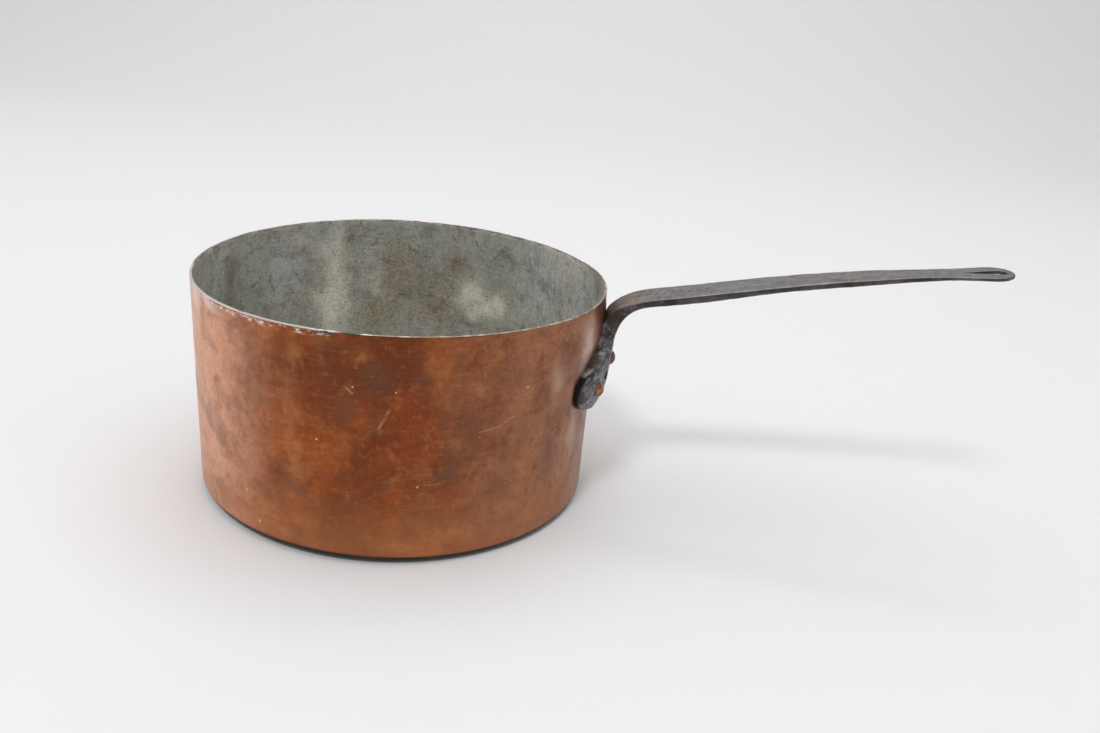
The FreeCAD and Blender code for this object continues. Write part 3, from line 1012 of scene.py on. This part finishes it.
def stage():
    """Pale floor that sweeps up into a backdrop."""
    rows = [(FLOOR_FRONT, 0.0), (FLOOR_BACK, 0.0)]
    for i in range(1, SWEEP_STEPS + 1):
        a = math.radians(90 * i / SWEEP_STEPS)
        rows.append((FLOOR_BACK + SWEEP_RADIUS * math.sin(a), SWEEP_RADIUS * (1 - math.cos(a))))
    rows.append((FLOOR_BACK + SWEEP_RADIUS, BACKDROP_TOP))
    verts = [(x, y, z) for y, z in rows for x in (-FLOOR_HALF_WIDTH, FLOOR_HALF_WIDTH)]
    faces = [(2 * i, 2 * i + 1, 2 * i + 3, 2 * i + 2) for i in range(len(rows) - 1)]
    mesh = bpy.data.meshes.new("studio_floor")
    mesh.from_pydata(verts, [], faces)
    mesh.polygons.foreach_set("use_smooth", [True] * len(faces))
    floor = bpy.data.objects.new("studio_floor", mesh)
    bpy.context.scene.collection.objects.link(floor)
    floor.rotation_euler = (0, 0, math.radians(CAMERA_AZIMUTH))
    n = Nodes("paper")
    n.shader.inputs["Base Color"].default_value = (0.86, 0.86, 0.865, 1)
    n.shader.inputs["Roughness"].default_value = 0.9
    n.shader.inputs["Specular IOR Level"].default_value = 0.2
    mesh.materials.append(n.material)


def area_light(name, place, target, size, power):
    """White rectangular lamp aimed at a point, its power in watts."""
    data = bpy.data.lights.new(name, "AREA")
    data.shape = "RECTANGLE"
    data.size, data.size_y = size
    data.energy = power
    lamp = bpy.data.objects.new(name, data)
    bpy.context.scene.collection.objects.link(lamp)
    lamp.location = place
    lamp.rotation_euler = (Vector(target) - Vector(place)).to_track_quat("-Z", "Y").to_euler()


def lighting():
    """A key above and behind the camera, three soft fills, and a world darker on the camera's side."""
    world = bpy.data.worlds.new("studio")
    bpy.context.scene.world = world
    world.use_nodes = True
    tree = world.node_tree
    way = tree.nodes.new("ShaderNodeTexCoord")
    split = tree.nodes.new("ShaderNodeSeparateXYZ")
    shade = tree.nodes.new("ShaderNodeMapRange")
    shade.interpolation_type = "SMOOTHSTEP"
    shade.inputs["From Min"].default_value = -0.95
    shade.inputs["From Max"].default_value = -0.10
    shade.inputs["To Min"].default_value = 0.16
    shade.inputs["To Max"].default_value = 0.69
    tree.links.new(way.outputs["Generated"], split.inputs[0])
    tree.links.new(split.outputs[1], shade.inputs["Value"])
    tree.links.new(shade.outputs[0], tree.nodes["Background"].inputs[1])
    tree.nodes["Background"].inputs[0].default_value = (1, 1, 1, 1)
    area_light("key", (-0.35, -1.9, 2.6), (0.1, 0, 0.05), (0.60, 0.45), 28.5)
    area_light("overhead", (0.3, 0.4, 2.5), (0.2, 0.3, 0), (2.6, 2.2), 19.5)
    area_light("backdrop", (0.1, 1.0, 2.3), (0.15, 2.5, 0.5), (1.6, 0.5), 7)
    area_light("side", (-2.2, 0.2, 0.9), (0, 0, 0.08), (1.6, 1.4), 4.6)


def camera():
    """The photo's camera: its azimuth and pitch, and the slight roll of the picture."""
    data = bpy.data.cameras.new("camera")
    data.lens = CAMERA_LENS
    data.sensor_width = 36.0
    data.clip_start = 0.01
    cam = bpy.data.objects.new("camera", data)
    bpy.context.scene.collection.objects.link(cam)
    pitch = math.radians(CAMERA_PITCH)
    roll = math.radians(CAMERA_ROLL)
    forward = Vector((0, math.cos(pitch), -math.sin(pitch)))
    level_up = Vector((0, math.sin(pitch), math.cos(pitch)))
    right = math.cos(roll) * Vector((1, 0, 0)) + math.sin(roll) * level_up
    up = -math.sin(roll) * Vector((1, 0, 0)) + math.cos(roll) * level_up
    turn = Matrix((right, up, -forward)).transposed().to_4x4()
    spin = Matrix.Rotation(math.radians(CAMERA_AZIMUTH), 4, "Z")
    place = Vector(CAMERA_PLACE) * RIM
    cam.matrix_world = spin @ Matrix.Translation(place) @ turn
    bpy.context.scene.camera = cam


# ---------------------------------------------------------------------------------------------
# Pieces
# ---------------------------------------------------------------------------------------------
def place_piece(piece, material, node):
    """Give a piece its material, put it on the root body and let it stand for its CAD node."""
    piece.data.materials.clear()
    piece.data.materials.append(material)
    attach(piece, "root")
    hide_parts(node)


camera()
stage()
lighting()
bpy.context.scene.view_settings.view_transform = "Standard"

place_piece(ring_mesh("copper_pan", copper_profile()), copper_material(), "copper_body")
place_piece(ring_mesh("tin_coat", tin_profile()), tin_material(), "tin_lining")
place_piece(forged_handle(), iron_material(), "handle")
RIVET_FINISH = rivet_material()
for rivet_node in RIVET_NODES:
    place_piece(hammered_rivet(rivet_node), RIVET_FINISH, rivet_node)
